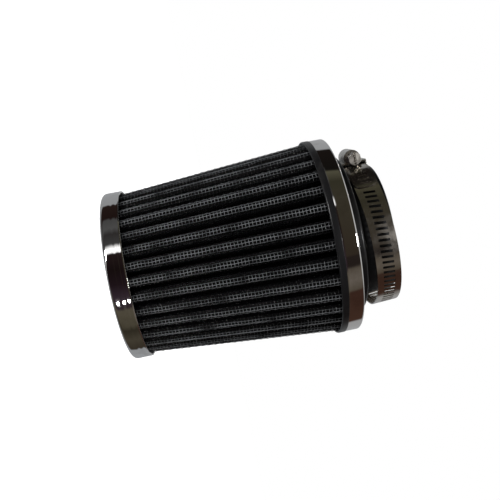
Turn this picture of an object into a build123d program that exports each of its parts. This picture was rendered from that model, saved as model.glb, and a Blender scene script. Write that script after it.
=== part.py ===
from build123d import *
import math
import os

# A clamp-on air filter for a carburettor: a cone of pleats between a pressed end cap and a
# moulded rubber base, with a worm-drive clamp loose on the neck.
# Millimetres. The filter's axis is +Z, z = 0 is the cap's outer face, and the inlet points up.

# Heights of the cap and the pleats, from the cap's outer face
cap_height = 7.7
pleats_bottom = 4.0
pleats_top = 89.0

# Heights above the base band: the boss, then the neck below, under and above the clamp's strip
boss_height = 4.1
neck_below_strip = 2.9
neck_above_strip = 1.1

# Pleats
pleat_count = 34
crest_r_bottom = 34.3
crest_r_top = 41.3
pleat_depth = 8.6
crest_flat = 0.8
crest_half_width = 2.0
crest_drop = 1.2
valley_flat = 0.2
valley_half_width = 0.55
valley_rise = 0.35
mesh_thickness = 0.45
gauze_thickness = 0.2
gauze_layers = 4
seam_thickness = 0.3
seam_end_gap = 2.0

# End cap and its potting
cap_sheet = 0.8
cap_gap = 0.9
cap_corner = 1.6
cap_dish_r = 23.0
cap_dish_depth = 0.7

# Rubber base, its potting and its band
pleat_clearance = 0.1
base_lip = 0.8
base_lip_height = 2.8
base_band_height = 6.3
base_band_sheet = 0.6
base_band_return = 2.2
base_band_corner = 0.9
potting_depth = 2.0
potting_step = 1.0
pocket_wall = 0.5
base_grip = 2.0
lip_corner = 0.5
inlet_r = 25.0
neck_wall = 2.5
mouth_corner = 0.8
boss_r = 33.8
boss_corner = 1.0
neck_fillet = 0.5

# Worm-drive clamp, which hangs a little off centre and tilted on the neck
clamp_tilt = 3.3
clamp_hang = 1.55
clamp_heading = 192.0
clamp_gap = 2.25
saddle_sheet = 0.35
saddle_half_angle = 16.0
slide_gap = 0.08
strip_sheet = 0.5
strip_width = 10.0
strip_side_gap = 0.25
strip_end = -14.0
ramp_start = 46.0
ramp_end = 62.0
tail_angle = 42.0
tail_corner = 3.0
slots_per_turn = 84
slot_width = 1.1
slot_length = 4.8
slot_margin = 3.0

# Clamp screw and its housing
worm_r = 2.8
worm_depth = 0.75
worm_crest = 0.5
worm_root = 1.1
worm_sink = 0.15
mesh_in = 0.4
housing_length = 10.0
housing_sheet = 0.5
housing_gap = 0.25
shoulder_gap = 0.34
journal_clearance = 0.06
end_play = 0.1
tip_r = 1.2
tip_stand_out = 0.6
collar_r = 2.4
collar_length = 1.9
head_flats = 5.0
head_length = 3.0
driver_slot_width = 0.9
driver_slot_depth = 1.2

# Sizes that follow from the ones above
STANDING = (Align.CENTER, Align.CENTER, Align.MIN)
pack_thickness = 2 * mesh_thickness + gauze_layers * gauze_thickness
cap_r = crest_r_bottom + cap_gap + cap_sheet
flange_r = crest_r_top + pleat_clearance
pocket_r = flange_r - pocket_wall
lip_bottom = pleats_top - base_grip
band_bottom = lip_bottom + base_lip_height
band_top = band_bottom + base_band_height
boss_top = band_top + boss_height
clamp_z = boss_top + neck_below_strip + strip_width / 2
total_height = boss_top + neck_below_strip + strip_width + neck_above_strip
neck_r = inlet_r + neck_wall
saddle_r = neck_r + clamp_gap
inner_strip_r = saddle_r + saddle_sheet + slide_gap
outer_strip_r = inner_strip_r + strip_sheet + slide_gap
clamp_outer_r = outer_strip_r + strip_sheet
housing_width = strip_width + 2 * (strip_side_gap + housing_sheet)
slot_angle = 360 / slots_per_turn
worm_pitch = math.radians(slot_angle) * (outer_strip_r + strip_sheet / 2)
worm_centre = clamp_outer_r - mesh_in + worm_r
worm_core_r = worm_r - worm_depth
worm_lead_angle = math.degrees(math.atan(worm_pitch / (2 * math.pi * worm_r)))

clamp_frame = Pos(clamp_hang, 0, clamp_z) * Rot(0, -clamp_tilt, 0) * Rot(0, 0, clamp_heading)
# The screw's own frame: +Z along the screw towards its head, +X away from the clamp's axis.
screw_frame = clamp_frame * Pos(worm_centre, 0, 0) * Rot(-90, 0, 0)


def polar(radius, degrees):
    angle = math.radians(degrees)
    return (radius * math.cos(angle), radius * math.sin(angle))


def turned(*corners):
    """A solid of revolution about Z. Each corner is (radius, height, rounding)."""
    points = [corner[:2] for corner in corners]
    roundings = [corner[2] for corner in corners]
    outline = make_face(FilletPolyline(*points, radius=roundings, close=True))
    return revolve(Plane.XZ * outline, Axis.Z)


def tube(outer, inner, bottom, top):
    wall = Circle(outer) - Circle(inner)
    return extrude(Pos(0, 0, bottom) * wall, top - bottom)


# ---------------------------------------------------------------- pleats


def crossing(p, direction_p, q, direction_q):
    """Where the line through p meets the line through q."""
    cross = direction_p[0] * direction_q[1] - direction_p[1] * direction_q[0]
    along = ((q[0] - p[0]) * direction_q[1] - (q[1] - p[1]) * direction_q[0]) / cross
    return (p[0] + along * direction_p[0], p[1] + along * direction_p[1])


def pleat_outline(crest_r, depth_in):
    """The corners of one pleated surface, depth_in below the pack's outer face.

    The outer face keeps its shape as the cone widens, and the layers below it keep their
    thickness, so every fold's faces are flat from end to end.
    """
    scale = crest_r / crest_r_bottom
    half_pitch = 180 / pleat_count
    valley_r = crest_r_bottom - pleat_depth
    fold = [
        (crest_r_bottom, crest_flat, 0),
        (crest_r_bottom - crest_drop, crest_half_width, 0),
        (valley_r + valley_rise, -valley_half_width, half_pitch),
        (valley_r, -valley_flat, half_pitch),
        (valley_r, valley_flat, half_pitch),
        (valley_r + valley_rise, valley_half_width, half_pitch),
        (crest_r_bottom - crest_drop, -crest_half_width, 2 * half_pitch),
        (crest_r_bottom, -crest_flat, 2 * half_pitch),
    ]
    corners = []
    for pleat in range(pleat_count):
        for radial, sideways, turn in fold:
            angle = 2 * half_pitch * pleat + turn
            out = polar(radial * scale, angle)
            across = polar(sideways * scale, angle + 90)
            corners.append((out[0] + across[0], out[1] + across[1]))
    return inset(corners, depth_in)


def inset(corners, depth_in):
    """A closed outline, anticlockwise, with every edge moved inwards by depth_in."""
    edges = []
    for here, after in zip(corners, corners[1:] + corners[:1]):
        length = math.dist(here, after)
        direction = ((after[0] - here[0]) / length, (after[1] - here[1]) / length)
        moved = (here[0] - direction[1] * depth_in, here[1] + direction[0] * depth_in)
        edges.append((moved, direction))
    return [crossing(*before, *edge) for before, edge in zip(edges[-1:] + edges[:-1], edges)]


def flat_face(points):
    return Face(Wire.make_polygon([Vector(*point) for point in points], close=True))


def at_height(outline, z):
    return [(x, y, z) for x, y in outline]


def side_faces(lower, upper):
    """The flat faces between two outlines with matching corners."""
    count = len(lower)
    pairs = [(k, (k + 1) % count) for k in range(count)]
    return [flat_face((lower[a], lower[b], upper[b], upper[a])) for a, b in pairs]


def pleated_layer(outer_depth, thickness):
    """One layer of the pleated pack, from the cap's potting to the base's potting."""
    faces = []
    rings = {}
    for depth_in in (outer_depth, outer_depth + thickness):
        lower = at_height(pleat_outline(crest_r_bottom, depth_in), pleats_bottom)
        upper = at_height(pleat_outline(crest_r_top, depth_in), pleats_top)
        faces += side_faces(lower, upper)
        rings[depth_in] = (lower, upper)
    for end in (0, 1):
        outer, inner = (Wire.make_polygon([Vector(*p) for p in ring[end]]) for ring in rings.values())
        faces.append(Face(outer, [inner]))
    return Solid(Shell(faces))


def layer_depth(gauze_index):
    return mesh_thickness + gauze_index * gauze_thickness


def seam_strip():
    """A folded strip over the inner fold where the two ends of the pack meet."""
    first = 8 * (pleat_count // 2) + 2
    height = pleats_top - pleats_bottom
    ends = []
    for z in (pleats_bottom + seam_end_gap, pleats_top - seam_end_gap):
        crest_r = crest_r_bottom + (crest_r_top - crest_r_bottom) * (z - pleats_bottom) / height
        upper_side = pleat_outline(crest_r, pack_thickness)[first : first + 4]
        lower_side = pleat_outline(crest_r, pack_thickness + seam_thickness)[first : first + 4]
        ends.append(at_height(upper_side + lower_side[::-1], z))
    return Solid(Shell([flat_face(ends[0]), flat_face(ends[1])] + side_faces(*ends)))


# ---------------------------------------------------------------- cap, base and pottings


def cap_inside(top):
    """The cup's cavity up to a height, with its rounded bottom corner."""
    radius = cap_r - cap_sheet
    return turned(
        (0, cap_sheet, 0),
        (radius, cap_sheet, cap_corner - cap_sheet),
        (radius, top, 0),
        (0, top, 0),
    )


def dish(radius, bottom):
    """The round panel pressed into the cap's face."""
    panel = Cone(radius, radius - cap_dish_depth, cap_dish_depth, align=STANDING)
    return Pos(0, 0, bottom) * panel


def dish_inside():
    return dish(cap_dish_r + cap_sheet, cap_sheet)


def end_cap():
    """A pressed cup with a shallow dish in its face."""
    cup = turned((0, 0, 0), (cap_r, 0, cap_corner), (cap_r, cap_height, 0), (0, cap_height, 0))
    return cup - cap_inside(cap_height) + dish_inside() - dish(cap_dish_r, 0)


def cap_potting():
    """The urethane bed that the pleats' lower ends are set in."""
    return cap_inside(pleats_bottom) - dish_inside()


def base_potting():
    """The urethane ring that the pleats' upper ends are set in."""
    return tube(pocket_r, inlet_r + potting_step, pleats_top, pleats_top + potting_depth)


def rubber_base():
    """The moulded flange, its lip around the pleats, the boss and the neck."""
    lip_r = flange_r + base_lip
    shoulder = band_top - base_band_sheet
    return turned(
        (inlet_r, pleats_top + potting_depth, 0),
        (pocket_r, pleats_top + potting_depth, 0),
        (pocket_r, pleats_top, 0),
        (flange_r, pleats_top, 0),
        (flange_r, lip_bottom, 0),
        (lip_r, lip_bottom, lip_corner),
        (lip_r, band_bottom, 0),
        (flange_r, band_bottom, 0),
        (flange_r, shoulder, base_band_corner - base_band_sheet),
        (boss_r, shoulder, 0),
        (boss_r, boss_top, boss_corner),
        (neck_r, boss_top, neck_fillet),
        (neck_r, total_height, mouth_corner),
        (inlet_r, total_height, mouth_corner),
    )


def base_band():
    """The bright band around the flange, its upper edge rolled in over the shoulder."""
    outer_r = flange_r + base_band_sheet
    return turned(
        (flange_r, band_bottom, 0),
        (outer_r, band_bottom, 0),
        (outer_r, band_top, base_band_corner),
        (flange_r - base_band_return, band_top, 0),
        (flange_r - base_band_return, band_top - base_band_sheet, 0),
        (flange_r, band_top - base_band_sheet, base_band_corner - base_band_sheet),
    )


# ---------------------------------------------------------------- clamp
# Built about its own axis with the screw housing on +X; clamp_frame puts it on the neck.


def sector(outer, inner, first, last, width):
    """A curved plate between two radii and two angles, centred on z = 0."""
    far = CenterArc((0, 0), outer, first, last - first)
    near = CenterArc((0, 0), inner, first, last - first)
    plate = make_face(far + near + Line(far @ 0, near @ 0) + Line(far @ 1, near @ 1))
    return extrude(plate, width / 2, both=True)


def clamp_saddle():
    """The curved plate that bridges the strip's overlap and carries the housing."""
    plate = sector(
        saddle_r + saddle_sheet, saddle_r, -saddle_half_angle, saddle_half_angle, housing_width
    )
    return clamp_frame * plate


def strip_edge(lower_r, upper_r):
    """One face of the strip: under its own tail, up a ramp, then round to the tail's end."""
    low = CenterArc((0, 0), lower_r, strip_end, ramp_start - strip_end)
    high = CenterArc((0, 0), upper_r, ramp_end, 360 + tail_angle - ramp_end)
    ramp = Spline(low @ 1, high @ 0, tangents=(low % 1, high % 0))
    return low, ramp, high


def slot_cutter(from_r):
    """One slot's cutter, leaning with the thread, from a radius to well outside the strip."""
    reach = clamp_outer_r + strip_sheet - from_r
    cutter = Box(reach, slot_width, slot_length, align=(Align.MIN, Align.CENTER, Align.CENTER))
    return Pos(from_r, 0, 0) * Rot(-worm_lead_angle, 0, 0) * cutter


def clamp_band():
    """The spiral steel strip, slotted from the end of its tail round to the tail again."""
    inside = strip_edge(inner_strip_r, outer_strip_r)
    outside = strip_edge(inner_strip_r + strip_sheet, clamp_outer_r)
    ends = [Line(inside[0] @ 0, outside[0] @ 0), Line(inside[2] @ 1, outside[2] @ 1)]
    strip = extrude(make_face(Curve() + [*inside, *outside, *ends]), strip_width / 2, both=True)
    tail_end = strip.faces().sort_by_distance(ends[1] @ 0.5)[0]
    strip = fillet(tail_end.edges().sort_by(SortBy.LENGTH)[:2], tail_corner)
    # Where the strip overlaps itself, only the outer turn is slotted.
    through = slot_cutter(inner_strip_r - slide_gap)
    outer_turn = slot_cutter(outer_strip_r - slide_gap / 2)
    first = math.ceil((tail_angle + slot_margin) / slot_angle)
    overlap = math.ceil((360 + strip_end - slot_margin) / slot_angle)
    last = math.floor((360 + tail_angle - slot_margin) / slot_angle)
    slots = [Rot(0, 0, k * slot_angle) * through for k in range(first, overlap)]
    slots += [Rot(0, 0, k * slot_angle) * outer_turn for k in range(overlap, last + 1)]
    return clamp_frame * (strip - slots)


def bridge(tunnel_r, legs_width, legs_top):
    """The housing's cross-section over the strip: (away from the clamp's axis, along it)."""
    shoulder = clamp_outer_r + shoulder_gap
    foot = saddle_r * math.cos(math.radians(saddle_half_angle))
    arch = Pos(worm_centre, 0) * Circle(tunnel_r)
    stem = Pos((shoulder + worm_centre) / 2, 0) * Rectangle(worm_centre - shoulder, 2 * tunnel_r)
    legs = Pos((foot + legs_top) / 2, 0) * Rectangle(legs_top - foot, legs_width)
    return arch + stem + legs


def clamp_housing():
    """A pressed bridge over the strip: two legs on the saddle, and a tunnel for the worm."""
    shoulder = clamp_outer_r + shoulder_gap
    inner_r = worm_r + housing_gap
    across = Plane((0, 0, 0), x_dir=(1, 0, 0), z_dir=(0, 1, 0))
    outside = bridge(inner_r + housing_sheet, housing_width, shoulder + housing_sheet)
    inside = bridge(inner_r, housing_width - 2 * housing_sheet, shoulder)
    shell = extrude(across * (outside - inside), housing_length / 2, both=True)
    # End walls close the tunnel above the strip and carry the screw.
    above = Rectangle(2 * worm_centre, housing_width, align=(Align.MIN, Align.CENTER))
    end_wall = (outside & Pos(shoulder, 0) * above) - inside + (inside & Pos(shoulder, 0) * above)
    for side in (-1, 1):
        wall_middle = side * (housing_length - housing_sheet) / 2
        shell += Pos(0, wall_middle, 0) * extrude(across * end_wall, housing_sheet / 2, both=True)
    for side, hole_r in ((1, worm_core_r), (-1, tip_r)):
        drill = Rot(90, 0, 0) * Cylinder(hole_r + journal_clearance, 2 * housing_sheet)
        shell -= Pos(worm_centre, side * housing_length / 2, 0) * drill
    shell -= Cylinder(saddle_r + saddle_sheet, 2 * housing_width)
    return clamp_frame * shell


def standing_rod(radius, bottom, top):
    return Pos(0, 0, bottom) * Cylinder(radius, top - bottom, align=STANDING)


def hexagon_head():
    """A hexagon with chamfered corners and a slot for a driver."""
    hexagon = extrude(RegularPolygon(head_flats / 2, 6, major_radius=False), head_length)
    crown = Cone(head_flats, head_flats / 2, head_length, align=STANDING)
    driver = Box(2 * head_flats, driver_slot_width, driver_slot_depth, align=STANDING)
    return (hexagon & crown) - Pos(0, 0, head_length - driver_slot_depth) * driver


def worm_thread(room):
    """A right-handed thread as long as the room allows, in whole half turns."""
    turns = math.floor(2 * (room - worm_root) / worm_pitch) / 2
    height = turns * worm_pitch
    path = Helix(worm_pitch, height, worm_core_r, center=(0, 0, -height / 2))
    section = Plane(path @ 0, x_dir=(1, 0, 0), z_dir=path % 0) * Polygon(
        (-worm_sink, -worm_root / 2),
        (worm_depth, -worm_crest / 2),
        (worm_depth, worm_crest / 2),
        (-worm_sink, worm_root / 2),
        align=None,
    )
    # Half a turn from its middle, so that the thread crosses the strip in the middle slot.
    return Rot(0, 0, 180 - 180 * turns) * sweep(section, path, is_frenet=True)


def clamp_screw():
    """The worm, journalled in the housing's end walls, with a collar and a hexagon head."""
    wall_inside = housing_length / 2 - housing_sheet - end_play
    wall_outside = housing_length / 2 + end_play
    screw = standing_rod(worm_core_r, -wall_inside, wall_outside)
    screw += standing_rod(tip_r, -wall_outside - tip_stand_out, -wall_inside)
    screw += standing_rod(collar_r, wall_outside, wall_outside + collar_length)
    screw += Pos(0, 0, wall_outside + collar_length) * hexagon_head()
    screw += worm_thread(2 * wall_inside)
    return screw_frame * screw


os.makedirs("parts", exist_ok=True)
nodes = {
    "end_cap": end_cap(),
    "cap_potting": cap_potting(),
    "outer_wire_mesh": pleated_layer(0, mesh_thickness),
    "inner_wire_mesh": pleated_layer(layer_depth(gauze_layers), mesh_thickness),
    "pleat_seam_strip": seam_strip(),
    "base_potting": base_potting(),
    "rubber_base": rubber_base(),
    "base_band": base_band(),
    "clamp_saddle": clamp_saddle(),
    "clamp_housing": clamp_housing(),
    "clamp_band": clamp_band(),
    "clamp_screw": clamp_screw(),
}
for k in range(gauze_layers):
    nodes[f"cotton_gauze_{k + 1}"] = pleated_layer(layer_depth(k), gauze_thickness)
for name, shape in nodes.items():
    export_step(shape, f"parts/{name}.step")
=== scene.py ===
import math

import bmesh
import bpy
from mathutils import Matrix, Vector, noise


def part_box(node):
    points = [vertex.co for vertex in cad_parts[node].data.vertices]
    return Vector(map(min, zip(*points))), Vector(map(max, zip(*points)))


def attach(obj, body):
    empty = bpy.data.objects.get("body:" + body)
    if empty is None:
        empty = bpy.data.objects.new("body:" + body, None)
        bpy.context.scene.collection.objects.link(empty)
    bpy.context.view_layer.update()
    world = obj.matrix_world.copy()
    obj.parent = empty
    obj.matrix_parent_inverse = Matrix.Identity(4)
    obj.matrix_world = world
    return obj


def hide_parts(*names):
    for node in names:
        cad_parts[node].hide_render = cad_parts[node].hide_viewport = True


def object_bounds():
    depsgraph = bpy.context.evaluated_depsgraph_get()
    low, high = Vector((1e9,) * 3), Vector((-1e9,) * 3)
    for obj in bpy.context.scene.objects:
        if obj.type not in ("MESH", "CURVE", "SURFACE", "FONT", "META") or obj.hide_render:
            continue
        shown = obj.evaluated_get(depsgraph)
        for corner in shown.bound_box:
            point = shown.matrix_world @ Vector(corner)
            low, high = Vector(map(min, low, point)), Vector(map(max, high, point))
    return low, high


# A clamp-on cone air filter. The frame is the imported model, standing on its end cap with +Z
# towards the inlet. The pieces' sizes below are in millimetres and their meshes in metres.
# Angles are in degrees.

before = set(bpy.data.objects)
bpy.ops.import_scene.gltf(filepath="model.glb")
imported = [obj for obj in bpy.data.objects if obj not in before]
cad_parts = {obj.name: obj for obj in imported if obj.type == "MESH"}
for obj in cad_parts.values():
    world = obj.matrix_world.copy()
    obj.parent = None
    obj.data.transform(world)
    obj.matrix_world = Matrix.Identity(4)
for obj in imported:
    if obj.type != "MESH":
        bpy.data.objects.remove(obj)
cad_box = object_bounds()
MM = 0.001


def size_of(node):
    """The lowest and highest corner of a CAD node's box, in millimetres."""
    low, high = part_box(node)
    return low / MM, high / MM


_, cap_high = size_of("end_cap")
band_low, band_high = size_of("base_band")
base_low, base_high = size_of("rubber_base")
pleats_low, pleats_high = size_of("outer_wire_mesh")

# Turned pieces: how finely they are cut, and the angle from which an edge stays sharp
ROUND_STEPS = 256
CORNER_STEPS = 6
TURNED_SHARP = 40
WELD = 0.001
TINIEST_EDGE = 0.0001

# End cap: pressed sheet with a dish in its face and faint waves round its skirt
CAP_SHEET = 0.8
CAP_CORNER = 1.6
CAP_DISH_R = 23.0
CAP_DISH_DEPTH = 0.7
CAP_DISH_CORNER = 0.5
CAP_DISH_RIM = 0.3
CAP_WAVES = 2
CAP_WAVE_STEPS = 8
CAP_WAVE_DEPTH = 0.06
CAP_SKIRT_BOTTOM = 3.2
CAP_SKIRT_MARGIN = 0.5
CAP_LIP = 0.1

# Base band: its lower edge drawn in a little, its upper edge rolled in
BAND_SHEET = 0.6
BAND_CORNER = 0.9
BAND_RETURN = 2.2
BAND_RETURN_CORNER = 0.2
BAND_TAPER = 0.06
BAND_TAPER_HEIGHT = 1.2
BAND_EDGE = 0.05

# Rubber base
POTTING_DEPTH = 2.0
POCKET_WALL = 0.5
INLET_R = 25.0
NECK_R = 27.5
NECK_FILLET = 0.5
MOUTH_CORNER = 0.8
STEP_CORNER = 0.3
BOSS_R = 33.8
BOSS_TOP = 100.2
BOSS_CORNER = 1.0
LIP_CORNER = 0.6
LIP_INSIDE_CORNER = 0.2
LIP_TOP_CORNER = 0.1

# Pleats, as in the part's source. A crest and a valley are given by two corners each, as
# (distance from the fold's tip, distance to its side).
PLEATS = 34
CREST_R_BOTTOM = 34.3
CREST_R_TOP = 41.3
PLEAT_DEPTH = 8.6
CREST = ((0.0, 0.8), (1.2, 2.0))
VALLEY = ((0.35, 0.55), (0.0, 0.2))
MESH_THICKNESS = 0.45
INNER_MESH_DEPTH = 1.25

# Woven wire: its weave, and how far the wires wander from an even grid
WIRES_PER_PLEAT = 16
WIRE_R = 0.15
WIRE_WAVE = 0.12
WIRE_ROW = 1.4
WIRE_DRIFT = 0.22
DRIFT_LENGTH = 5.0
SAG_START = 500
SECTORS = 4

# Clamp pieces: the rounding of their edges, and how their CAD meshes are joined up
CUT_EDGE = 0.06
PRESSED_EDGE = 0.08
CLAMP_WELD = 0.0005
FLAT_WITHIN = 0.5
CLAMP_SHARP = 35

GAUZE_LAYERS = 4

# Colours
CHROME_CLEAN = (0.72, 0.71, 0.70)
CHROME_SMUDGED = (0.60, 0.58, 0.56)
# Wire: near black deeper in the folds as painted shade, and lighter grey on the crests, partly
# rubbing and dust and partly painted light
WIRE_SHADED_BLACK = (0.0015, 0.0017, 0.002)
WIRE_RUBBED_AND_LIT = (0.090, 0.094, 0.099)
# Gauze: dark with oil, and near black beyond that as painted shade in the folds
GAUZE_WET_SHADED = (0.0006, 0.0006, 0.0007)
GAUZE_DRY_SHADED = (0.0016, 0.0015, 0.0015)
URETHANE_BLACK = (0.012, 0.012, 0.013)
URETHANE_DUSTY = (0.035, 0.034, 0.032)
RUBBER_BLACK = (0.005, 0.005, 0.0055)
RUBBER_DUSTY = (0.014, 0.0135, 0.013)
STEEL_CLEAN = (0.62, 0.60, 0.56)
STEEL_HANDLED = (0.46, 0.43, 0.39)

# The colour sockets of a Mix node, which have the same names as its other sockets
MIX_SHARE = 0
MIX_FIRST = 6
MIX_SECOND = 7
MIX_COLOUR = 2

# ------------------------------------------------------------------ materials


def add(tree, kind, **settings):
    """A new node. Settings in capitals are its inputs, and the others its own options."""
    made = tree.nodes.new(kind)
    for name, value in settings.items():
        if name[0].isupper():
            made.inputs[name.replace("_", " ")].default_value = value
        else:
            setattr(made, name, value)
    return made


def group(name, numbers):
    """An empty shader group with number inputs and one output called Value."""
    tree = bpy.data.node_groups.new(name, "ShaderNodeTree")
    for label, value in numbers.items():
        socket = tree.interface.new_socket(label, in_out="INPUT", socket_type="NodeSocketFloat")
        socket.default_value = value
    tree.interface.new_socket("Value", in_out="OUTPUT", socket_type="NodeSocketFloat")
    entry = tree.nodes.new("NodeGroupInput")
    leave = tree.nodes.new("NodeGroupOutput")
    return tree, entry, leave


def patches():
    """Soft blotches between 0 and 1, for smudges, dust and uneven oil."""
    tree, entry, leave = group("patches", {"Scale": 60.0, "From": 0.45, "To": 0.65})
    place = add(tree, "ShaderNodeTexCoord")
    blotches = add(tree, "ShaderNodeTexNoise", Detail=5.0, Roughness=0.6)
    spread = add(tree, "ShaderNodeMapRange", interpolation_type="SMOOTHSTEP")
    tree.links.new(place.outputs["Object"], blotches.inputs["Vector"])
    tree.links.new(entry.outputs["Scale"], blotches.inputs["Scale"])
    tree.links.new(blotches.outputs["Fac"], spread.inputs["Value"])
    tree.links.new(entry.outputs["From"], spread.inputs["From Min"])
    tree.links.new(entry.outputs["To"], spread.inputs["From Max"])
    tree.links.new(spread.outputs["Result"], leave.inputs["Value"])
    return tree


def rolled_lines():
    """Fine lines left by rolling or polishing, running around the axis."""
    tree, entry, leave = group("rolled_lines", {"Across": 6000.0, "Along": 60.0})
    place = add(tree, "ShaderNodeTexCoord")
    split = add(tree, "ShaderNodeSeparateXYZ")
    turn = add(tree, "ShaderNodeMath", operation="ARCTAN2")
    across = add(tree, "ShaderNodeMath", operation="MULTIPLY")
    along = add(tree, "ShaderNodeMath", operation="MULTIPLY")
    join = add(tree, "ShaderNodeCombineXYZ")
    streaks = add(tree, "ShaderNodeTexNoise", Scale=1.0, Detail=3.0, Roughness=0.5)
    tree.links.new(place.outputs["Object"], split.inputs["Vector"])
    tree.links.new(split.outputs["X"], turn.inputs[0])
    tree.links.new(split.outputs["Y"], turn.inputs[1])
    tree.links.new(turn.outputs["Value"], along.inputs[0])
    tree.links.new(entry.outputs["Along"], along.inputs[1])
    tree.links.new(split.outputs["Z"], across.inputs[0])
    tree.links.new(entry.outputs["Across"], across.inputs[1])
    tree.links.new(along.outputs["Value"], join.inputs["X"])
    tree.links.new(across.outputs["Value"], join.inputs["Y"])
    tree.links.new(join.outputs["Vector"], streaks.inputs["Vector"])
    tree.links.new(streaks.outputs["Fac"], leave.inputs["Value"])
    return tree


def crest_share():
    """1 on the pleats' crests and 0 deeper in the folds; the wire uses it for painted light on the
    crests and painted shade in the folds.
    """
    tree, entry, leave = group("crest_share", {"Depth": 0.0022})
    place = add(tree, "ShaderNodeTexCoord")
    split = add(tree, "ShaderNodeSeparateXYZ")
    flat = add(tree, "ShaderNodeCombineXYZ")
    reach = add(tree, "ShaderNodeVectorMath", operation="LENGTH")
    crest = add(tree, "ShaderNodeMapRange", clamp=False)
    crest.inputs["From Min"].default_value = pleats_low.z * MM
    crest.inputs["From Max"].default_value = pleats_high.z * MM
    crest.inputs["To Min"].default_value = CREST_R_BOTTOM * MM
    crest.inputs["To Max"].default_value = CREST_R_TOP * MM
    below = add(tree, "ShaderNodeMath", operation="SUBTRACT")
    share = add(tree, "ShaderNodeMapRange", interpolation_type="SMOOTHSTEP", To_Min=1.0, To_Max=0.0)
    tree.links.new(place.outputs["Object"], split.inputs["Vector"])
    tree.links.new(split.outputs["X"], flat.inputs["X"])
    tree.links.new(split.outputs["Y"], flat.inputs["Y"])
    tree.links.new(flat.outputs["Vector"], reach.inputs[0])
    tree.links.new(split.outputs["Z"], crest.inputs["Value"])
    tree.links.new(crest.outputs["Result"], below.inputs[0])
    tree.links.new(reach.outputs["Value"], below.inputs[1])
    tree.links.new(below.outputs["Value"], share.inputs["Value"])
    tree.links.new(entry.outputs["Depth"], share.inputs["From Max"])
    tree.links.new(share.outputs["Result"], leave.inputs["Value"])
    return tree


PATCHES = patches()
ROLLED_LINES = rolled_lines()
CREST_SHARE = crest_share()


def material(name, metallic=0.0, ior=1.5):
    """A new material, with its node tree and its shader."""
    made = bpy.data.materials.new(name)
    made.use_nodes = True
    tree = made.node_tree
    shader = tree.nodes["Principled BSDF"]
    shader.inputs["Metallic"].default_value = metallic
    shader.inputs["IOR"].default_value = ior
    return made, tree, shader


def place_group(tree, made_group, **values):
    """Places a shared effect in a material with its own values."""
    made = add(tree, "ShaderNodeGroup", node_tree=made_group)
    for name, value in values.items():
        made.inputs[name].default_value = value
    return made.outputs["Value"]


def blend(tree, share, first, second):
    """From one colour to another by a share. Each may be an output or a plain colour."""
    mix = add(tree, "ShaderNodeMix", data_type="RGBA")
    tree.links.new(share, mix.inputs[MIX_SHARE])
    for socket, colour in ((MIX_FIRST, first), (MIX_SECOND, second)):
        if isinstance(colour, tuple):
            mix.inputs[socket].default_value = (*colour, 1)
        else:
            tree.links.new(colour, mix.inputs[socket])
    return mix.outputs[MIX_COLOUR]


def colour_between(tree, shader, mask, first, second):
    """The first colour where the mask is 0, and the second where it is 1."""
    tree.links.new(blend(tree, mask, first, second), shader.inputs["Base Color"])


def roughness_between(tree, shader, mask, low, high):
    """The low roughness where the mask is 0, and the high one where it is 1."""
    spread = add(tree, "ShaderNodeMapRange", To_Min=low, To_Max=high)
    tree.links.new(mask, spread.inputs["Value"])
    tree.links.new(spread.outputs["Result"], shader.inputs["Roughness"])


def bump(tree, shader, height, depth, before=None):
    """Adds a bump of a depth in metres, over an earlier one if there is one."""
    made = add(tree, "ShaderNodeBump", Distance=depth)
    tree.links.new(height, made.inputs["Height"])
    if before is not None:
        tree.links.new(before.outputs["Normal"], made.inputs["Normal"])
    tree.links.new(made.outputs["Normal"], shader.inputs["Normal"])
    return made


def noise_height(tree, scale, detail=4.0):
    """An uneven height for a bump, fixed to the piece."""
    place = add(tree, "ShaderNodeTexCoord")
    grain = add(tree, "ShaderNodeTexNoise", Scale=scale, Detail=detail)
    tree.links.new(place.outputs["Object"], grain.inputs["Vector"])
    return grain.outputs["Fac"]


def plated_chrome():
    """Bright plating over polished steel, a little smudged."""
    made, tree, shader = material("plated_chrome", metallic=1.0)
    smudge = place_group(tree, PATCHES, Scale=70.0, From=0.5, To=0.7)
    colour_between(tree, shader, smudge, CHROME_CLEAN, CHROME_SMUDGED)
    roughness_between(tree, shader, smudge, 0.03, 0.09)
    lines = place_group(tree, ROLLED_LINES, Across=9000.0, Along=30.0)
    fine = bump(tree, shader, lines, 0.0000012)
    bump(tree, shader, noise_height(tree, 90.0, 2.0), 0.00003, fine)
    return made


def epoxy_wire():
    """Black epoxy-coated wire, rubbed and dusty grey along the pleats' crests, the grey partly a
    painted highlight there; near black in the folds as painted shade.
    """
    made, tree, shader = material("epoxy_wire", ior=1.55)
    dust = place_group(tree, PATCHES, Scale=110.0, From=0.2, To=0.6)
    crest = place_group(tree, CREST_SHARE, Depth=0.0011)
    # The crest grey is partly rubbing and dust and partly painted light, and the wire stays black in
    # the folds as painted shade
    rubbed_and_lit = add(tree, "ShaderNodeMath", operation="MULTIPLY", use_clamp=True)
    tree.links.new(dust, rubbed_and_lit.inputs[0])
    tree.links.new(crest, rubbed_and_lit.inputs[1])
    colour_between(tree, shader, rubbed_and_lit.outputs["Value"], WIRE_SHADED_BLACK, WIRE_RUBBED_AND_LIT)
    roughness_between(tree, shader, dust, 0.16, 0.26)
    bump(tree, shader, noise_height(tree, 4500.0), 0.00003)
    return made


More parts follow.
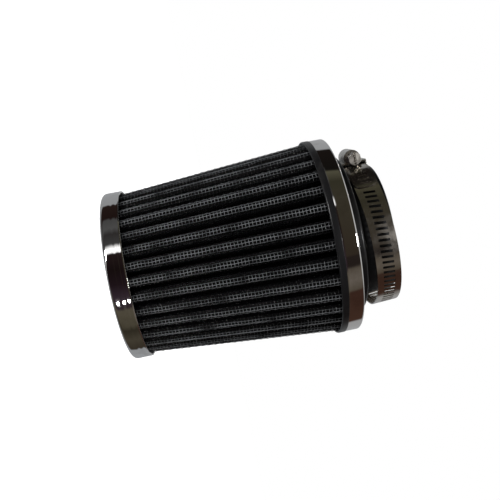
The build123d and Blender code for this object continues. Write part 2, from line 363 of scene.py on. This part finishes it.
def oiled_gauze():
    """Coarse cotton gauze: two crossed sets of threads, dark with oil and made near black as painted
    shade in the folds.
    """
    made, tree, shader = material("oiled_gauze", ior=1.4)
    shader.inputs["Specular IOR Level"].default_value = 0.05
    oil = place_group(tree, PATCHES, Scale=45.0, From=0.4, To=0.7)
    # Wet and dry oil patches, both near black as painted shade
    colour_between(tree, shader, oil, GAUZE_WET_SHADED, GAUZE_DRY_SHADED)
    roughness_between(tree, shader, oil, 0.9, 0.6)
    place = add(tree, "ShaderNodeTexCoord")
    warp = add(tree, "ShaderNodeTexWave", bands_direction="Z", Scale=420.0, Distortion=1.5)
    weft = add(tree, "ShaderNodeTexWave", bands_direction="DIAGONAL", Scale=300.0, Distortion=2.0)
    both = add(tree, "ShaderNodeMath", operation="MULTIPLY")
    for wave, slot in ((warp, 0), (weft, 1)):
        tree.links.new(place.outputs["Object"], wave.inputs["Vector"])
        tree.links.new(wave.outputs["Fac"], both.inputs[slot])
    bump(tree, shader, both.outputs["Value"], 0.00025)
    return made


def cast_urethane():
    """Black potting, matt and slightly uneven from the mould."""
    made, tree, shader = material("cast_urethane", ior=1.45)
    dust = place_group(tree, PATCHES, Scale=55.0, From=0.45, To=0.7)
    colour_between(tree, shader, dust, URETHANE_BLACK, URETHANE_DUSTY)
    roughness_between(tree, shader, dust, 0.38, 0.6)
    bump(tree, shader, noise_height(tree, 600.0), 0.00012)
    return made


def moulded_rubber():
    """Black rubber with a fine grain and some dust."""
    made, tree, shader = material("moulded_rubber", ior=1.45)
    shader.inputs["Specular IOR Level"].default_value = 0.25
    dust = place_group(tree, PATCHES, Scale=60.0, From=0.5, To=0.75)
    colour_between(tree, shader, dust, RUBBER_BLACK, RUBBER_DUSTY)
    roughness_between(tree, shader, dust, 0.30, 0.48)
    grain = bump(tree, shader, noise_height(tree, 2600.0), 0.00002)
    bump(tree, shader, noise_height(tree, 140.0, 2.0), 0.00010, grain)
    return made


def rolled_stainless(name, low, high, across):
    """Bright stainless with its rolling lines, for the strip, the housing and the screw."""
    made, tree, shader = material(name, metallic=1.0)
    handled = place_group(tree, PATCHES, Scale=120.0, From=0.42, To=0.7)
    colour_between(tree, shader, handled, STEEL_CLEAN, STEEL_HANDLED)
    roughness_between(tree, shader, handled, low, high)
    lines = place_group(tree, ROLLED_LINES, Across=across, Along=12.0)
    fine = bump(tree, shader, lines, 0.000004)
    bump(tree, shader, noise_height(tree, 260.0, 2.0), 0.00003, fine)
    return made


CHROME = plated_chrome()
WIRE = epoxy_wire()
GAUZE = oiled_gauze()
URETHANE = cast_urethane()
RUBBER = moulded_rubber()
STRIP_STEEL = rolled_stainless("strip_stainless", 0.13, 0.26, 7000.0)
HOUSING_STEEL = rolled_stainless("housing_stainless", 0.16, 0.30, 3000.0)
SCREW_STEEL = rolled_stainless("screw_steel", 0.18, 0.34, 2500.0)

# ------------------------------------------------------------------ making pieces


def placed(name, data):
    """A new object in the scene, at its own origin."""
    made = bpy.data.objects.new(name, data)
    bpy.context.scene.collection.objects.link(made)
    return made


def mesh_from(bm, name):
    """A finished bmesh as a mesh."""
    mesh = bpy.data.meshes.new(name)
    bm.to_mesh(mesh)
    bm.free()
    return mesh


def piece(name, mesh, body, finish, slot, *nodes):
    """A finished piece: it rides on a body, wears a material and stands for CAD nodes."""
    made = placed(name, mesh)
    mesh.materials.clear()
    mesh.materials.append(finish)
    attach(made, body)
    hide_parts(*nodes)
    return made


def soften(mesh, sharp_angle):
    """Smooth shading with hard edges where the surface turns by more than an angle."""
    for face in mesh.polygons:
        face.use_smooth = True
    bm = bmesh.new()
    bm.from_mesh(mesh)
    for edge in bm.edges:
        edge.smooth = edge.calc_face_angle(0) < math.radians(sharp_angle)
    bm.to_mesh(mesh)
    bm.free()


def rounded(corners):
    """Outline points from (radius, height, rounding) corners, each rounding made an arc."""
    points = []
    count = len(corners)
    for k, (r, z, rounding) in enumerate(corners):
        here = Vector((r, z))
        if rounding == 0:
            points.append(here)
            continue
        to_before = (Vector(corners[k - 1][:2]) - here).normalized()
        to_after = (Vector(corners[(k + 1) % count][:2]) - here).normalized()
        half = to_before.angle(to_after) / 2
        centre = here + (to_before + to_after).normalized() * (rounding / math.sin(half))
        start = here + to_before * (rounding / math.tan(half)) - centre
        sweep = start.angle_signed(here + to_after * (rounding / math.tan(half)) - centre)
        for step in range(CORNER_STEPS + 1):
            turn = Matrix.Rotation(-sweep * step / CORNER_STEPS, 2)
            points.append(centre + turn @ start)
    return points


def turned(name, outline, *rest):
    """A piece spun about the filter's axis from a closed outline in millimetres."""
    bm = bmesh.new()
    ring = [bm.verts.new((p[0] * MM, 0, p[1] * MM)) for p in outline]
    loop = [bm.edges.new(pair) for pair in zip(ring, ring[1:] + ring[:1])]
    bmesh.ops.spin(
        bm,
        geom=ring + loop,
        cent=(0, 0, 0),
        axis=(0, 0, 1),
        angle=math.tau,
        steps=ROUND_STEPS,
        use_merge=True,
    )
    bmesh.ops.remove_doubles(bm, verts=bm.verts, dist=WELD * MM)
    bmesh.ops.dissolve_degenerate(bm, edges=bm.edges, dist=TINIEST_EDGE * MM)
    bmesh.ops.recalc_face_normals(bm, faces=bm.faces)
    mesh = mesh_from(bm, name)
    soften(mesh, TURNED_SHARP)
    piece(name, mesh, *rest)


# ------------------------------------------------------------------ turned pieces


def bright_end_cap():
    """The pressed cap: rounded face edge, dish, and a skirt with faint rolled waves."""
    radius, height = cap_high.x, cap_high.z
    inner = radius - CAP_SHEET
    skirt_height = height - CAP_SKIRT_MARGIN - CAP_SKIRT_BOTTOM
    steps = CAP_WAVES * CAP_WAVE_STEPS
    skirt = []
    for step in range(steps + 1):
        part = step / steps
        sink = CAP_WAVE_DEPTH * (1 - math.cos(math.tau * CAP_WAVES * part)) / 2
        skirt.append((radius - sink, CAP_SKIRT_BOTTOM + skirt_height * part, 0))
    corners = [
        (0, CAP_DISH_DEPTH, 0),
        (CAP_DISH_R - CAP_DISH_DEPTH, CAP_DISH_DEPTH, CAP_DISH_CORNER),
        (CAP_DISH_R + CAP_DISH_RIM, 0, CAP_DISH_CORNER),
        (radius, 0, CAP_CORNER),
        *skirt,
        (radius - CAP_LIP, height, CAP_LIP),
        (inner, height, CAP_LIP),
        (inner, CAP_SHEET, CAP_CORNER - CAP_SHEET),
        (CAP_DISH_R + CAP_SHEET, CAP_SHEET, 0),
        (CAP_DISH_R + CAP_SHEET - CAP_DISH_DEPTH, CAP_SHEET + CAP_DISH_DEPTH, 0),
        (0, CAP_SHEET + CAP_DISH_DEPTH, 0),
    ]
    turned("bright_end_cap", rounded(corners), "filter", CHROME, "chrome_plate", "end_cap")


def bright_base_band():
    """The band around the base, its upper edge rolled in."""
    outer, top, bottom = band_high.x, band_high.z, band_low.z
    inner = outer - BAND_SHEET
    corners = [
        (inner, bottom, 0),
        (outer - BAND_TAPER, bottom, BAND_EDGE),
        (outer, bottom + BAND_TAPER_HEIGHT, 0),
        (outer, top, BAND_CORNER),
        (inner - BAND_RETURN, top, BAND_RETURN_CORNER),
        (inner - BAND_RETURN, top - BAND_SHEET, 0),
        (inner, top - BAND_SHEET, BAND_CORNER - BAND_SHEET),
    ]
    turned("bright_base_band", rounded(corners), "filter", CHROME, "chrome_plate", "base_band")


def moulded_base():
    """The rubber flange, lip, boss and neck, in one moulding."""
    flange_r = band_high.x - BAND_SHEET
    shoulder = band_high.z - BAND_SHEET
    top = base_high.z
    pocket_top = pleats_high.z + POTTING_DEPTH
    corners = [
        (INLET_R, pocket_top, STEP_CORNER),
        (flange_r - POCKET_WALL, pocket_top, 0),
        (flange_r - POCKET_WALL, pleats_high.z, 0),
        (flange_r, pleats_high.z, 0),
        (flange_r, base_low.z, LIP_INSIDE_CORNER),
        (base_high.x, base_low.z, LIP_CORNER),
        (base_high.x, band_low.z, LIP_TOP_CORNER),
        (flange_r, band_low.z, 0),
        (flange_r, shoulder, BAND_CORNER - BAND_SHEET),
        (BOSS_R, shoulder, STEP_CORNER),
        (BOSS_R, BOSS_TOP, BOSS_CORNER),
        (NECK_R, BOSS_TOP, NECK_FILLET),
        (NECK_R, top, MOUTH_CORNER),
        (INLET_R, top, MOUTH_CORNER),
    ]
    turned("moulded_base", rounded(corners), "filter", RUBBER, "base_rubber", "rubber_base")


# ------------------------------------------------------------------ woven wire


def around(radius, sideways, angle):
    """A point at a radius, then sideways from it, turned to an angle in degrees."""
    return Matrix.Rotation(math.radians(angle), 2) @ Vector((radius, sideways))


def fold(crest_r, depth_in):
    """One pleat's path from crest to crest, depth_in below the pack's outer face."""
    scale = crest_r / CREST_R_BOTTOM
    half = 180 / PLEATS
    valley_r = CREST_R_BOTTOM - PLEAT_DEPTH
    path = [around((CREST_R_BOTTOM - d) * scale, s * scale, 0) for d, s in CREST]
    path += [around((valley_r + d) * scale, -s * scale, half) for d, s in VALLEY]
    path += [around((valley_r + d) * scale, s * scale, half) for d, s in VALLEY[::-1]]
    path += [around((CREST_R_BOTTOM - d) * scale, -s * scale, 2 * half) for d, s in CREST[::-1]]
    path = [around(*path[-1], -2 * half), *path, around(*path[0], 2 * half)]
    moved = []
    for before, here, after in zip(path, path[1:], path[2:]):
        first = (here - before).normalized()
        second = (after - here).normalized()
        inwards = (first + second).normalized().orthogonal()
        moved.append(here + inwards * depth_in / math.cos(first.angle(second) / 2))
    return moved


def spread_wires(path):
    """Equally spaced wires along one pleat's path: (place, way out of the sheet) for each."""
    half = 180 / PLEATS
    middle_r = (path[0].x + around(*path[-1], -2 * half).x) / 2
    full = [Vector((middle_r, 0)), *path, around(middle_r, 0, 2 * half)]
    lengths = [(b - a).length for a, b in zip(full, full[1:])]
    wires = []
    for k in range(WIRES_PER_PLEAT):
        left = sum(lengths) * k / WIRES_PER_PLEAT
        part = 0
        while left > lengths[part]:
            left -= lengths[part]
            part += 1
        along = (full[part + 1] - full[part]).normalized()
        place = full[part] + along * left
        out = -along.orthogonal() if k else Vector((1, 0))
        wires.append((place, out))
    return wires


def lattice(depth_in):
    """Where wires cross: for each wire round the filter, its bottom, top and way out."""
    lower = spread_wires(fold(CREST_R_BOTTOM, depth_in))
    upper = spread_wires(fold(CREST_R_TOP, depth_in))
    crossings = []
    for pleat in range(PLEATS):
        angle = 360 / PLEATS * pleat
        for (low, out), (high, _) in zip(lower, upper):
            crossings.append((around(*low, angle), around(*high, angle), around(*out, angle)))
    return crossings


def crossing(wire, share, side):
    """A wire's place at a share of the height, lifted to one side of the sheet."""
    low, high, out = wire
    flat = low.lerp(high, share)
    z = pleats_low.z + (pleats_high.z - pleats_low.z) * share
    drift, sag = (noise.noise(Vector((*flat, z + start)) / DRIFT_LENGTH) for start in (0, SAG_START))
    flat += out * (WIRE_WAVE * side) + out.orthogonal() * (WIRE_DRIFT * drift)
    z = min(max(z + WIRE_DRIFT * sag, pleats_low.z + WIRE_R), pleats_high.z - WIRE_R)
    return (flat.x * MM, flat.y * MM, z * MM, 1)


def woven_sector(name, wires, cross_shift, node):
    """A part of the woven sheet: upright wires and the wires woven across them."""
    rows = round((pleats_high.z - pleats_low.z) / WIRE_ROW)
    curve = bpy.data.curves.new(name, "CURVE")
    curve.dimensions = "3D"
    curve.bevel_depth = WIRE_R * MM
    curve.bevel_resolution = 0
    curve.use_fill_caps = True

    def over_and_under(k, row):
        """1 where an upright wire runs over the crossing one, and -1 where it runs under."""
        return (-1) ** (row + k + cross_shift)

    uprights = [
        [crossing(wire, row / rows, over_and_under(k, row)) for row in range(rows + 1)]
        for k, wire in enumerate(wires[:-1])
    ]
    across = [
        [crossing(wire, row / rows, -over_and_under(k, row)) for k, wire in enumerate(wires)]
        for row in range(rows + 1)
    ]
    for points in uprights + across:
        spline = curve.splines.new("POLY")
        spline.points.add(len(points) - 1)
        spline.points.foreach_set("co", [value for point in points for value in point])
    holder = bpy.data.objects.new(name, curve)
    mesh = bpy.data.meshes.new_from_object(holder)
    bpy.data.objects.remove(holder)
    mesh.name = name
    for face in mesh.polygons:
        face.use_smooth = True
    piece(name, mesh, "filter", WIRE, "wire_mesh", node)


def woven_sheet(name, depth_in, node):
    """A whole pleated sheet of woven wire, in sectors that share their border wires' places."""
    wires = lattice(depth_in)
    share = len(wires) // SECTORS
    for sector in range(SECTORS):
        chosen = (wires * 2)[sector * share : (sector + 1) * share + 1]
        woven_sector(f"{name}_{sector + 1}", chosen, sector * share, node)


# ------------------------------------------------------------------ clamp


def merged_copy(node):
    """The CAD node's shape as one joined mesh, ready for rounded edges."""
    bm = bmesh.new()
    bm.from_mesh(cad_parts[node].data)
    bmesh.ops.remove_doubles(bm, verts=bm.verts, dist=CLAMP_WELD * MM)
    bmesh.ops.dissolve_limit(
        bm,
        angle_limit=math.radians(FLAT_WITHIN),
        verts=bm.verts,
        edges=bm.edges,
        delimit={"NORMAL"},
    )
    return mesh_from(bm, node)


def clamp_piece(name, node, body, finish, slot, edge):
    """A clamp piece with its cut edges eased by a small rounding."""
    made = piece(name, merged_copy(node), body, finish, slot, node)
    easing = made.modifiers.new("eased_edges", "BEVEL")
    easing.width = edge * MM
    easing.segments = 2
    easing.limit_method = "ANGLE"
    easing.angle_limit = math.radians(CLAMP_SHARP)
    easing.use_clamp_overlap = True
    easing.harden_normals = True
    soften(made.data, CLAMP_SHARP)


# ------------------------------------------------------------------ build

bright_end_cap()
bright_base_band()
moulded_base()
woven_sheet("woven_outer_mesh", MESH_THICKNESS / 2, "outer_wire_mesh")
woven_sheet("woven_inner_mesh", INNER_MESH_DEPTH + MESH_THICKNESS / 2, "inner_wire_mesh")
clamp_piece("slotted_strip", "clamp_band", "band", STRIP_STEEL, "clamp_steel", CUT_EDGE)
clamp_piece("screw_housing", "clamp_housing", "clamp", HOUSING_STEEL, "clamp_steel", PRESSED_EDGE)
clamp_piece("bridge_plate", "clamp_saddle", "clamp", STRIP_STEEL, "clamp_steel", CUT_EDGE)
clamp_piece("worm_screw", "clamp_screw", "screw", SCREW_STEEL, "screw_steel", CUT_EDGE)

# The hidden pieces are shown as they are in the frame
finishes = {
    "cap_potting": URETHANE,
    "base_potting": URETHANE,
    "pleat_seam_strip": HOUSING_STEEL,
}
for layer in range(GAUZE_LAYERS):
    finishes[f"cotton_gauze_{layer + 1}"] = GAUZE
for node, finish in finishes.items():
    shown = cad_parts[node]
    shown.data.materials.clear()
    shown.data.materials.append(finish)

# ------------------------------------------------------------------ stage, light and camera

# What stands around the filter, as (degrees around its axis from the back over the housing's
# side, colour): pale behind, a dark room in front. The lower ring is what the cap faces, and
# the upper ring is what the base band and the clamp face.
LOWER_RING = [
    (0, (0.36, 0.375, 0.39)),
    (66, (0.34, 0.35, 0.36)),
    (69, (0.022, 0.013, 0.011)),
    (95, (0.016, 0.009, 0.008)),
    (98, (0.07, 0.07, 0.07)),
    (112, (0.09, 0.09, 0.09)),
    (121, (0.035, 0.032, 0.032)),
    (136, (0.055, 0.055, 0.055)),
    (142, (1.6, 1.6, 1.6)),
    (147, (1.6, 1.6, 1.6)),
    (149, (0.020, 0.012, 0.012)),
    (170, (0.010, 0.006, 0.006)),
    (190, (0.016, 0.009, 0.012)),
    (212, (0.045, 0.030, 0.042)),
    (222, (0.030, 0.020, 0.026)),
    (226, (0.105, 0.092, 0.066)),
    (250, (0.080, 0.070, 0.048)),
    (258, (0.035, 0.030, 0.020)),
    (276, (0.070, 0.060, 0.042)),
    (298, (0.045, 0.036, 0.026)),
    (301, (0.34, 0.355, 0.37)),
    (360, (0.36, 0.375, 0.39)),
]
UPPER_RING = [
    (0, (0.40, 0.41, 0.42)),
    (60, (0.38, 0.39, 0.40)),
    (63, (0.012, 0.009, 0.008)),
    (101, (0.008, 0.007, 0.006)),
    (104, (0.095, 0.090, 0.060)),
    (118, (0.040, 0.037, 0.024)),
    (143, (0.048, 0.042, 0.029)),
    (206, (0.036, 0.027, 0.019)),
    (208, (0.022, 0.016, 0.014)),
    (219, (0.022, 0.016, 0.014)),
    (222, (0.110, 0.092, 0.072)),
    (236, (0.160, 0.138, 0.116)),
    (249, (0.100, 0.083, 0.063)),
    (252, (0.050, 0.024, 0.017)),
    (303, (0.062, 0.031, 0.021)),
    (307, (0.38, 0.38, 0.38)),
    (360, (0.40, 0.41, 0.42)),
]
CEILING = (0.62, 0.62, 0.62)
WHITE = (1, 1, 1, 1)

# The floor's radius is in metres, and its gap under the cap in millimetres
FLOOR_R = 6.0
FLOOR_STEPS = 64
FLOOR_GAP = 0.1
FLOOR_PAINT = (0.7, 0.7, 0.7, 1)

# The camera's places are in millimetres before MM, and its nearest distance in metres
CAMERA_PLACE = Vector((-0.5, -283.7, 43.8)) * MM
CAMERA_TARGET = Vector((-0.5, 0, 57.1)) * MM
CAMERA_ROLL = 11.03
CAMERA_LENS = 46.8
CAMERA_SENSOR = 36
CAMERA_NEAREST = 0.01


def ring_colour(tree, share, stops):
    """A colour for each way round the filter, from a list of (degrees, colour)."""
    ring = add(tree, "ShaderNodeValToRGB")
    tree.links.new(share, ring.inputs["Fac"])
    ramp = ring.color_ramp.elements
    while len(ramp) < len(stops):
        ramp.new(0.5)
    for stop, (degrees, colour) in zip(ramp, stops):
        stop.position = degrees / 360
        stop.color = (*colour, 1)
    return ring.outputs["Color"]


def surroundings():
    """A room for the reflections; the camera itself sees plain white."""
    world = bpy.data.worlds.new("surroundings")
    bpy.context.scene.world = world
    world.use_nodes = True
    tree = world.node_tree
    tree.nodes.clear()
    place = add(tree, "ShaderNodeTexCoord")
    split = add(tree, "ShaderNodeSeparateXYZ")
    flip = add(tree, "ShaderNodeMath", operation="MULTIPLY")
    flip.inputs[1].default_value = -1
    turn = add(tree, "ShaderNodeMath", operation="ARCTAN2")
    share = add(tree, "ShaderNodeMath", operation="DIVIDE")
    share.inputs[1].default_value = math.tau
    wrap = add(tree, "ShaderNodeMath", operation="FRACT")
    tree.links.new(place.outputs["Generated"], split.inputs["Vector"])
    tree.links.new(split.outputs["X"], flip.inputs[0])
    tree.links.new(flip.outputs["Value"], turn.inputs[0])
    tree.links.new(split.outputs["Y"], turn.inputs[1])
    tree.links.new(turn.outputs["Value"], share.inputs[0])
    tree.links.new(share.outputs["Value"], wrap.inputs[0])
    lower = ring_colour(tree, wrap.outputs["Value"], LOWER_RING)
    upper = ring_colour(tree, wrap.outputs["Value"], UPPER_RING)
    soft = {"interpolation_type": "SMOOTHSTEP"}
    level = add(tree, "ShaderNodeMapRange", **soft, From_Min=-0.03, From_Max=0.08)
    overhead = add(tree, "ShaderNodeMapRange", **soft, From_Min=0.6, From_Max=0.9)
    tree.links.new(split.outputs["Z"], level.inputs["Value"])
    tree.links.new(split.outputs["Z"], overhead.inputs["Value"])
    around_it = blend(tree, level.outputs["Result"], lower, upper)
    room = blend(tree, overhead.outputs["Result"], around_it, CEILING)
    lit = add(tree, "ShaderNodeBackground", Strength=1.0)
    seen = add(tree, "ShaderNodeBackground", Color=WHITE, Strength=1.0)
    path = add(tree, "ShaderNodeLightPath")
    choose = add(tree, "ShaderNodeMixShader")
    leave = add(tree, "ShaderNodeOutputWorld")
    tree.links.new(room, lit.inputs["Color"])
    tree.links.new(path.outputs["Is Camera Ray"], choose.inputs["Fac"])
    tree.links.new(lit.outputs["Background"], choose.inputs[1])
    tree.links.new(seen.outputs["Background"], choose.inputs[2])
    tree.links.new(choose.outputs["Shader"], leave.inputs["Surface"])


def pale_floor():
    """A pale floor just under the cap's face, so that the two don't lie in one plane."""
    bm = bmesh.new()
    bmesh.ops.create_circle(bm, cap_ends=True, radius=FLOOR_R, segments=FLOOR_STEPS)
    bmesh.ops.translate(bm, verts=bm.verts, vec=(0, 0, -FLOOR_GAP * MM))
    mesh = mesh_from(bm, "floor")
    floor = placed("floor", mesh)
    # The room is all that the bright pieces reflect, and the low lamps shine through.
    floor.visible_glossy = False
    floor.visible_shadow = False
    paint = bpy.data.materials.new("pale_floor")
    paint.use_nodes = True
    tree = paint.node_tree
    tree.nodes.clear()
    matt = add(tree, "ShaderNodeBsdfDiffuse", Color=FLOOR_PAINT)
    glow = add(tree, "ShaderNodeEmission", Color=WHITE)
    path = add(tree, "ShaderNodeLightPath")
    dim = add(tree, "ShaderNodeMapRange", To_Min=0.12, To_Max=0.93)
    both = add(tree, "ShaderNodeAddShader")
    leave = add(tree, "ShaderNodeOutputMaterial")
    tree.links.new(path.outputs["Is Camera Ray"], dim.inputs["Value"])
    tree.links.new(dim.outputs["Result"], glow.inputs["Strength"])
    tree.links.new(matt.outputs["BSDF"], both.inputs[0])
    tree.links.new(glow.outputs["Emission"], both.inputs[1])
    tree.links.new(both.outputs["Shader"], leave.inputs["Surface"])
    mesh.materials.append(paint)


def lamp(name, degrees, rise, distance, size, power):
    """A square lamp, in metres and watts, placed by degrees as the rings are and raised."""
    light = bpy.data.lights.new(name, "AREA")
    light.shape = "SQUARE"
    light.size = size
    light.energy = power
    made = placed(name, light)
    angle, raised = math.radians(degrees), math.radians(rise)
    middle = (cad_box[0] + cad_box[1]) / 2
    reach = math.cos(raised)
    way = Vector((-math.sin(angle) * reach, math.cos(angle) * reach, math.sin(raised)))
    made.location = middle + way * distance
    made.rotation_euler = (-way).to_track_quat("-Z", "Y").to_euler()


def camera():
    """The camera, turned so that the filter's inlet end points right and a little up."""
    lens = bpy.data.cameras.new("camera")
    lens.lens = CAMERA_LENS
    lens.sensor_width = CAMERA_SENSOR
    lens.clip_start = CAMERA_NEAREST
    made = placed("camera", lens)
    forward = (CAMERA_TARGET - CAMERA_PLACE).normalized()
    level = (Vector((0, 0, 1)) - forward * forward.z).normalized()
    raised = level.cross(forward)
    roll = math.radians(CAMERA_ROLL)
    right = level * math.cos(roll) - raised * math.sin(roll)
    up = raised * math.cos(roll) + level * math.sin(roll)
    turned_to = Matrix((right, up, -forward)).transposed().to_4x4()
    made.matrix_world = Matrix.Translation(CAMERA_PLACE) @ turned_to
    bpy.context.scene.camera = made


surroundings()
pale_floor()
lamp("lamp_cap_side", degrees=146, rise=-38, distance=1.0, size=0.18, power=11)
lamp("lamp_inlet_side", degrees=192, rise=42, distance=1.0, size=0.20, power=6)
lamp("lamp_spot", degrees=214, rise=-15, distance=1.2, size=0.08, power=1.6)
camera()
bpy.context.scene.view_settings.view_transform = "Standard"
